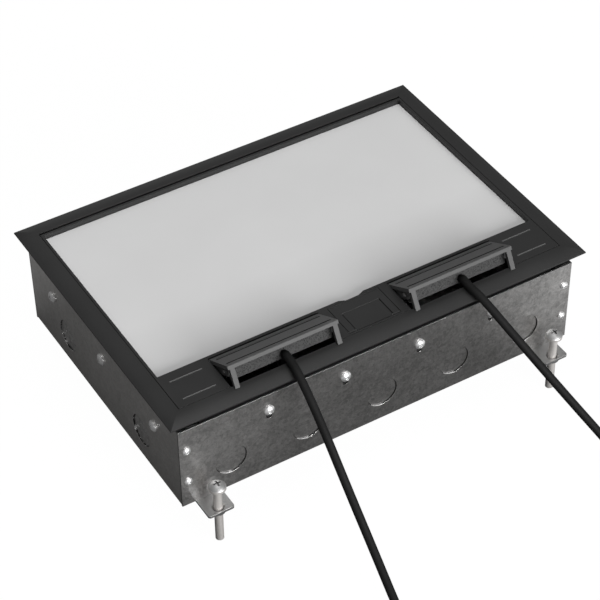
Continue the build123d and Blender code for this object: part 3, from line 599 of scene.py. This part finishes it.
def galvanisedSheet(name, values, sheared):
    m = NodeTree(name)
    light = values["light"]
    spangle = m.cells(values["spangles"], "Color")
    spangleGrey = m.add("ShaderNodeSeparateColor")
    m.feed(spangleGrey.inputs["Color"], spangle)
    tint = spangleGrey.outputs["Red"]
    cloud = m.noise(values["clouds"], detail=5, roughness=0.6)
    patch = m.noise(values["patches"], detail=4, roughness=0.65)
    streak = m.noise(values["streaks"], place=m.stretched(values["streakStretch"]))
    fine = m.noise(values["fine"], roughness=0.6)
    mottle = m.plus(m.times(tint, values["spangleWeight"]), m.times(patch, values["patchWeight"]))
    mottle = m.plus(mottle, m.times(fine, values["fineWeight"]))
    mottle = m.plus(mottle, m.times(cloud, values["cloudWeight"]))
    mottle = m.plus(mottle, m.times(streak, values["streakWeight"]))
    coated = m.blendColour(
        m.spread(mottle, *values["mottleRange"]),
        grey(light * values["darkest"], values["warmth"]),
        grey(light * values["lightest"], values["warmth"]),
    )
    axes = m.split()
    fromMiddleX, fromMiddleY = m.size(axes["X"]), m.size(axes["Y"])

    # The side walls are calmer than the end panels, and the upper edges darker with painted shade
    # under the border
    inBetween = m.math("LESS_THAN", fromMiddleY, values["sideUpTo"])
    onSide = m.times(m.math("GREATER_THAN", fromMiddleX, values["sideFrom"]), inBetween)
    sideGrey = grey(light * values["sideShade"], values["sideWarmth"])
    coated = m.blendColour(m.times(onSide, values["sideCalm"]), coated, sideGrey)
    lip = m.math("GREATER_THAN", axes["Z"], values["lipFrom"])
    top = m.math("GREATER_THAN", axes["Z"], values["topFrom"])
    coated = m.blendColour(lip, coated, grey(light * values["lipShade"]))

    # Sheared walls: dark with painted shade, a painted highlight at each knockout's lowest point,
    # lighter in random patches on the sides
    panelWall = m.near(fromMiddleY, sheared["panel"], sheared["half"])
    sideWall = m.times(m.near(fromMiddleX, sheared["side"], sheared["half"]), inBetween)
    walls = m.plus(panelWall, sideWall)
    halfPitch = sheared["pitch"] / 2
    shifted = m.math("FLOORED_MODULO", m.plus(axes["X"], halfPitch), sheared["pitch"])
    fromCentre = m.minus(shifted, halfPitch)
    lowestHighlight = m.times(
        m.near(axes["Z"], sheared["highlightZ"], sheared["highlightHalfZ"]),
        m.near(fromCentre, sheared["highlightX"], sheared["highlightHalfX"]),
    )
    sidePatches = m.noise(sheared["sidePatches"])
    sidePatches = m.spread(sidePatches, *sheared["sidePatchRange"], 0, sheared["sidePatchShare"])
    lighterParts = m.math("MAXIMUM", lowestHighlight, m.times(sideWall, sidePatches))
    edges = m.blendColour(lighterParts, grey(sheared["paintedShade"]), grey(sheared["bright"]))
    coated = m.blendColour(walls, coated, edges)
    m.set({
        "Base Color": m.blendColour(top, coated, grey(values["topShadeGrey"])),
        "Metallic": m.minus(values["metallic"], m.times(walls, sheared["lessMetal"])),
        "Roughness": m.spread(mottle, *values["glossRange"], *values["roughness"]),
    })
    height = m.plus(m.times(tint, values["spangleHeight"]), patch)
    m.bump(height, values["bumpStrength"], values["bumpDepth"], values["edge"])
    return m.material


# Plated steel: faint drawing marks and a cloudy gloss

platingValues = {
    "clouds": 260,
    "marks": 700,
    "marksStretch": (1, 1, 0.15),
    "marksWeight": 0.5,
    "mixedRange": (0.5, 1.0),
    "darkest": 0.85,
    "lightest": 1.05,
    "rougher": 0.07,
    "smoother": 0.05,
    "topShadeShare": 0.42,
    "bumpStrength": 0.05,
    "bumpDepth": 0.00003,
    "topShadeFrom": 0.0426,
    "topShadeTo": 0.0434,
}


def screwTopShade(m):
    # Painted shade: one on the levelling screws' domed tops, which are coloured darker
    return m.spread(m.split()["Z"], platingValues["topShadeFrom"], platingValues["topShadeTo"])


def platedMetal(name, light, roughness, edge, warm=0.0, metallic=1.0, shadedTop=None):
    values = platingValues
    m = NodeTree(name)
    cloud = m.noise(values["clouds"], detail=4)
    alongMarks = m.stretched(values["marksStretch"])
    marks = m.noise(values["marks"], roughness=0.6, place=alongMarks)
    mixed = m.plus(cloud, m.times(marks, values["marksWeight"]))
    colour = m.blendColour(
        m.spread(mixed, *values["mixedRange"]),
        grey(light * values["darkest"], warm),
        grey(light * values["lightest"], warm),
    )
    # Painted shade: darker on the domed tops
    if shadedTop:
        colour = m.blendColour(shadedTop(m), colour, grey(light * values["topShadeShare"]))
    rough, smooth = roughness + values["rougher"], roughness - values["smoother"]
    m.set({
        "Base Color": colour,
        "Metallic": metallic,
        "Roughness": m.spread(mixed, *values["mixedRange"], rough, smooth),
    })
    m.bump(mixed, values["bumpStrength"], values["bumpDepth"], edge)
    return m.material


# Lid inlay: pale grey, smooth, semi-gloss, with the faintest orange peel and a painted shadow
# along the front

inlayValues = {
    "clouds": 14,
    "darkerCloud": 0.600,
    "lighterCloud": 0.625,
    "frontShadowTo": -0.058,
    "frontShadowFrom": -0.012,
    "frontShadowShare": 0.30,
    "frontShadowGrey": 0.30,
    "roughness": (0.40, 0.46),
    "peel": 420,
    "peelStrength": 0.05,
    "peelDepth": 0.00003,
    "edge": 0.0003,
}


def palePanel(name, values):
    m = NodeTree(name)
    peel = m.noise(values["peel"])
    cloud = m.noise(values["clouds"])
    # Painted shadow: darker towards the front edge, where the flaps shade the panel
    front = m.spread(m.split()["Y"], values["frontShadowTo"], values["frontShadowFrom"], 1, 0)
    even = m.blendColour(
        m.spread(cloud, *noiseMiddle), grey(values["darkerCloud"]), grey(values["lighterCloud"])
    )
    colour = m.blendColour(m.times(front, values["frontShadowShare"]), even, grey(values["frontShadowGrey"]))
    m.set({
        "Base Color": colour,
        "Roughness": m.spread(cloud, *noiseMiddle, *values["roughness"]),
    })
    m.bump(peel, values["peelStrength"], values["peelDepth"], values["edge"])
    return m.material


# Open-cell foam: light cell walls round small dark pores

poreValues = {
    "pores": 1250,
    "poreWeight": 0.7,
    "smallPores": 2600,
    "smallWeight": 0.4,
    "specks": 1500,
    "speckWeight": 0.5,
    "mixedRange": (0.5, 0.85),
    "poreGrey": 0.003,
    "wallGrey": 0.052,
    "roughness": 0.95,
    "bumpStrength": 0.9,
    "bumpDepth": 0.0003,
}


def cellFoam(name, values):
    m = NodeTree(name)
    pores = m.cells(values["pores"])
    small = m.cells(values["smallPores"])
    speck = m.noise(values["specks"], roughness=0.7)
    mixed = m.plus(m.times(pores, values["poreWeight"]), m.times(small, values["smallWeight"]))
    mixed = m.plus(mixed, m.times(speck, values["speckWeight"]))
    walls = m.spread(mixed, *values["mixedRange"])
    m.set({
        "Base Color": m.blendColour(walls, grey(values["poreGrey"]), grey(values["wallGrey"])),
        "Roughness": values["roughness"],
    })
    m.bump(mixed, values["bumpStrength"], values["bumpDepth"])
    return m.material


# Cord sheath: matt, with fine scuffs along it

sheathValues = {
    "clouds": 60,
    "darkerCloud": 0.0056,
    "lighterCloud": 0.0074,
    "scuffs": 900,
    "roughness": (0.62, 0.72),
    "specular": 0.14,
    "scuffStrength": 0.05,
    "scuffDepth": 0.00004,
}


def rubberSheath(name, values):
    m = NodeTree(name)
    scuff = m.noise(values["scuffs"], detail=4)
    cloud = m.noise(values["clouds"])
    colour = m.blendColour(
        m.spread(cloud, *noiseMiddle), grey(values["darkerCloud"]), grey(values["lighterCloud"])
    )
    m.set({
        "Base Color": colour,
        "Roughness": m.spread(scuff, *noiseMiddle, *values["roughness"]),
        "Specular IOR Level": values["specular"],
    })
    m.bump(scuff, values["scuffStrength"], values["scuffDepth"])
    return m.material


finishes = {
    "galvanised_sheet": galvanisedSheet("galvanisedSheet", sheetValues, shearedValues),
    "bright_zinc": platedMetal(
        "brightZinc", light=0.95, roughness=0.31, edge=0.0002, metallic=0.85
    ),
    "bracket_zinc": platedMetal(
        "bracketZinc", light=0.38, roughness=0.33, edge=0.0003, metallic=0.90
    ),
    "satin_screw": platedMetal(
        "satinScrew",
        light=0.82,
        roughness=0.47,
        edge=0.0002,
        warm=0.035,
        metallic=0.78,
        shadedTop=screwTopShade,
    ),
    "dark_plastic": grainedPlastic(
        "darkPlastic",
        value=0.018,
        roughness=0.46,
        edge=0.0002,
        paintedShade=borderGapShade,
        light=stripGrooveHighlight,
    ),
    "light_panel": palePanel("palePanel", inlayValues),
    "steel_pin": platedMetal("steelPin", light=0.55, roughness=0.3, edge=0.0001),
    "flap_plastic": grainedPlastic(
        "flapPlastic",
        value=0.054,
        roughness=0.58,
        edge=0.0003,
        specular=0.4,
        paintedShade=flapGrooveShade,
    ),
    "foam": cellFoam("cellFoam", poreValues),
    "module_white": grainedPlastic(
        "moduleWhite", value=0.72, roughness=0.34, edge=0.0004, grain=1600, depth=0.00001
    ),
    "brass": platedMetal("turnedBrass", light=0.6, roughness=0.28, edge=0.0002, warm=0.25),
    "black_plastic": grainedPlastic("blackPlastic", value=0.020, roughness=0.46, edge=0.0004),
    "black_cord": rubberSheath("rubberSheath", sheathValues),
}
for part in frame["record"]["subparts"]:
    mesh = cad[part["node"]].data
    mesh.materials.clear()
    mesh.materials.append(finishes[part["material_slot"]])
for cord in cords:
    cord.data.materials.append(finishes["black_cord"])
for foam in foams:
    foam.data.materials.append(finishes["foam"])
print("materials made")

# Stage: a white floor and backdrop as seen, and a dim studio as reflected, in which the floor is
# brighter to the right, to the left in front, beside the box and behind it

stageValues = {
    "floorHalf": 6.0,
    "floorGrey": 0.02,
    "floorRoughness": 0.9,
    "seenFloor": 0.985,
    "floorDim": 0.037,
    "dimBeside": 0.6,
    "dimAhead": 0.4,
    "floorRight": 0.94,
    "floorLeft": 0.31,
    "floorSide": 0.11,
    "floorRear": 0.24,
    "skyTop": 0.40,
    "skyHorizon": 0.18,
    "skyBelow": 0.08,
    "belowEnds": 0.46,
    "horizonAt": 0.52,
}
# From where to where on the floor each part of its reflected light grows
stageRamps = {
    "right": (0.10, 0.27),
    "left": (0.00, -0.12),
    "near": (-0.08, -0.13),
    "ahead": (-0.10, -0.20),
    "leftSide": (-0.13, -0.17),
    "rightSide": (0.15, 0.21),
    "behind": (0.115, 0.17),
    "behindFrom": (-0.2, -0.13),
}


def cameraSplit(m, asReflected, asSeen):
    # Camera rays meet the seen shader, all other rays the studio's
    path = m.add("ShaderNodeLightPath")
    mix = m.add("ShaderNodeMixShader")
    m.feed(mix.inputs[0], path.outputs["Is Camera Ray"])
    m.feed(mix.inputs[1], asReflected)
    m.feed(mix.inputs[2], asSeen)
    return mix.outputs[0]


def glow(m, strength):
    node = m.add("ShaderNodeEmission")
    m.feed(node.inputs["Color"], grey(1.0))
    m.feed(node.inputs["Strength"], strength)
    return node.outputs[0]


def reflectedFloor(m, values, ramps):
    axes = m.split()
    brighter = values["floorRight"] - values["floorDim"]
    rightward = m.spread(axes["X"], *ramps["right"], 0, brighter)
    leftward = m.spread(axes["X"], *ramps["left"], 0, values["floorLeft"])
    near = m.spread(axes["Y"], *ramps["near"])
    ahead = m.spread(axes["Y"], *ramps["ahead"])
    notNear = m.minus(1.0, near)
    level = m.plus(m.times(rightward, near), m.times(leftward, ahead))
    dim = m.plus(m.times(ahead, values["dimAhead"]), values["dimBeside"])
    base = m.times(dim, values["floorDim"])
    beside = m.times(m.spread(axes["X"], *ramps["leftSide"], 0, values["floorSide"]), notNear)
    level = m.plus(level, m.plus(base, beside))
    rightSide = m.times(m.spread(axes["X"], *ramps["rightSide"], 0, values["floorRear"]), notNear)
    behind = m.spread(axes["Y"], *ramps["behind"], 0, values["floorRear"])
    behind = m.times(behind, m.spread(axes["X"], *ramps["behindFrom"]))
    return m.plus(level, m.math("MAXIMUM", rightSide, behind))


def makeFloor(values, ramps):
    half = values["floorHalf"]
    corners = [(-half, -half, 0), (half, -half, 0), (half, half, 0), (-half, half, 0)]
    mesh = bpy.data.meshes.new("paleFloor")
    mesh.from_pydata(corners, [], [(0, 1, 2, 3)])
    floor = bpy.data.objects.new("paleFloor", mesh)
    scene.collection.objects.link(floor)
    m = NodeTree("paleFloor")
    m.set({
        "Base Color": grey(values["floorGrey"]),
        "Roughness": values["floorRoughness"],
        "Specular IOR Level": 0.0,
    })
    seen = m.add("ShaderNodeAddShader")
    m.feed(seen.inputs[0], m.shader.outputs[0])
    m.feed(seen.inputs[1], glow(m, values["seenFloor"]))
    reflected = glow(m, reflectedFloor(m, values, ramps))
    output = m.tree.nodes["Material Output"]
    m.feed(output.inputs["Surface"], cameraSplit(m, reflected, seen.outputs[0]))
    mesh.materials.append(m.material)


def makeStudio(values):
    # Dark below the horizon, lighter at it and lightest overhead; white to the camera
    world = bpy.data.worlds.new("studio")
    scene.world = world
    world.use_nodes = True
    nodes, links = world.node_tree.nodes, world.node_tree.links
    background = nodes["Background"]
    direction = nodes.new("ShaderNodeTexCoord")
    split = nodes.new("ShaderNodeSeparateXYZ")
    links.new(direction.outputs["Generated"], split.inputs["Vector"])
    shift = nodes.new("ShaderNodeMapRange")
    shift.inputs["From Min"].default_value = -1
    links.new(split.outputs["Z"], shift.inputs["Value"])
    ramp = nodes.new("ShaderNodeValToRGB")
    links.new(shift.outputs["Result"], ramp.inputs["Fac"])
    stops = ramp.color_ramp.elements
    stops[0].position = values["belowEnds"]
    stops[0].color = grey(values["skyBelow"])
    stops[1].position = 1.0
    stops[1].color = grey(values["skyTop"])
    stops.new(values["horizonAt"]).color = grey(values["skyHorizon"])
    links.new(ramp.outputs["Color"], background.inputs["Color"])
    plain = nodes.new("ShaderNodeBackground")
    plain.inputs["Color"].default_value = grey(1.0)
    path = nodes.new("ShaderNodeLightPath")
    mix = nodes.new("ShaderNodeMixShader")
    links.new(path.outputs["Is Camera Ray"], mix.inputs[0])
    links.new(background.outputs[0], mix.inputs[1])
    links.new(plain.outputs[0], mix.inputs[2])
    links.new(mix.outputs[0], nodes["World Output"].inputs["Surface"])


# Soft lights: a low one in front, one overhead and a faint one behind

lampValues = {
    "frontLight": {
        "place": (0.30, -1.9, 0.60),
        "aim": (0, 0, 0.06),
        "size": (1.2, 0.8),
        "power": 52,
    },
    "topLight": {
        "place": (-0.2, -0.12, 1.7),
        "aim": (0, 0, 0.09),
        "size": (1.3, 0.9),
        "power": 11.8,
    },
    "rearLight": {
        "place": (0.35, 1.9, 0.55),
        "aim": (0, 0, 0.06),
        "size": (1.2, 0.8),
        "power": 1.3,
    },
}


def softLight(name, values):
    data = bpy.data.lights.new(name, "AREA")
    data.shape = "RECTANGLE"
    data.size, data.size_y = values["size"]
    data.energy = values["power"]
    lamp = bpy.data.objects.new(name, data)
    lamp.location = values["place"]
    lamp.rotation_mode = "QUATERNION"
    towards = Vector(values["aim"]) - Vector(values["place"])
    lamp.rotation_quaternion = towards.to_track_quat("-Z", "Y")
    scene.collection.objects.link(lamp)


makeFloor(stageValues, stageRamps)
makeStudio(stageValues)
for name, values in lampValues.items():
    softLight(name, values)
scene.view_settings.view_transform = "Standard"
print("stage set")
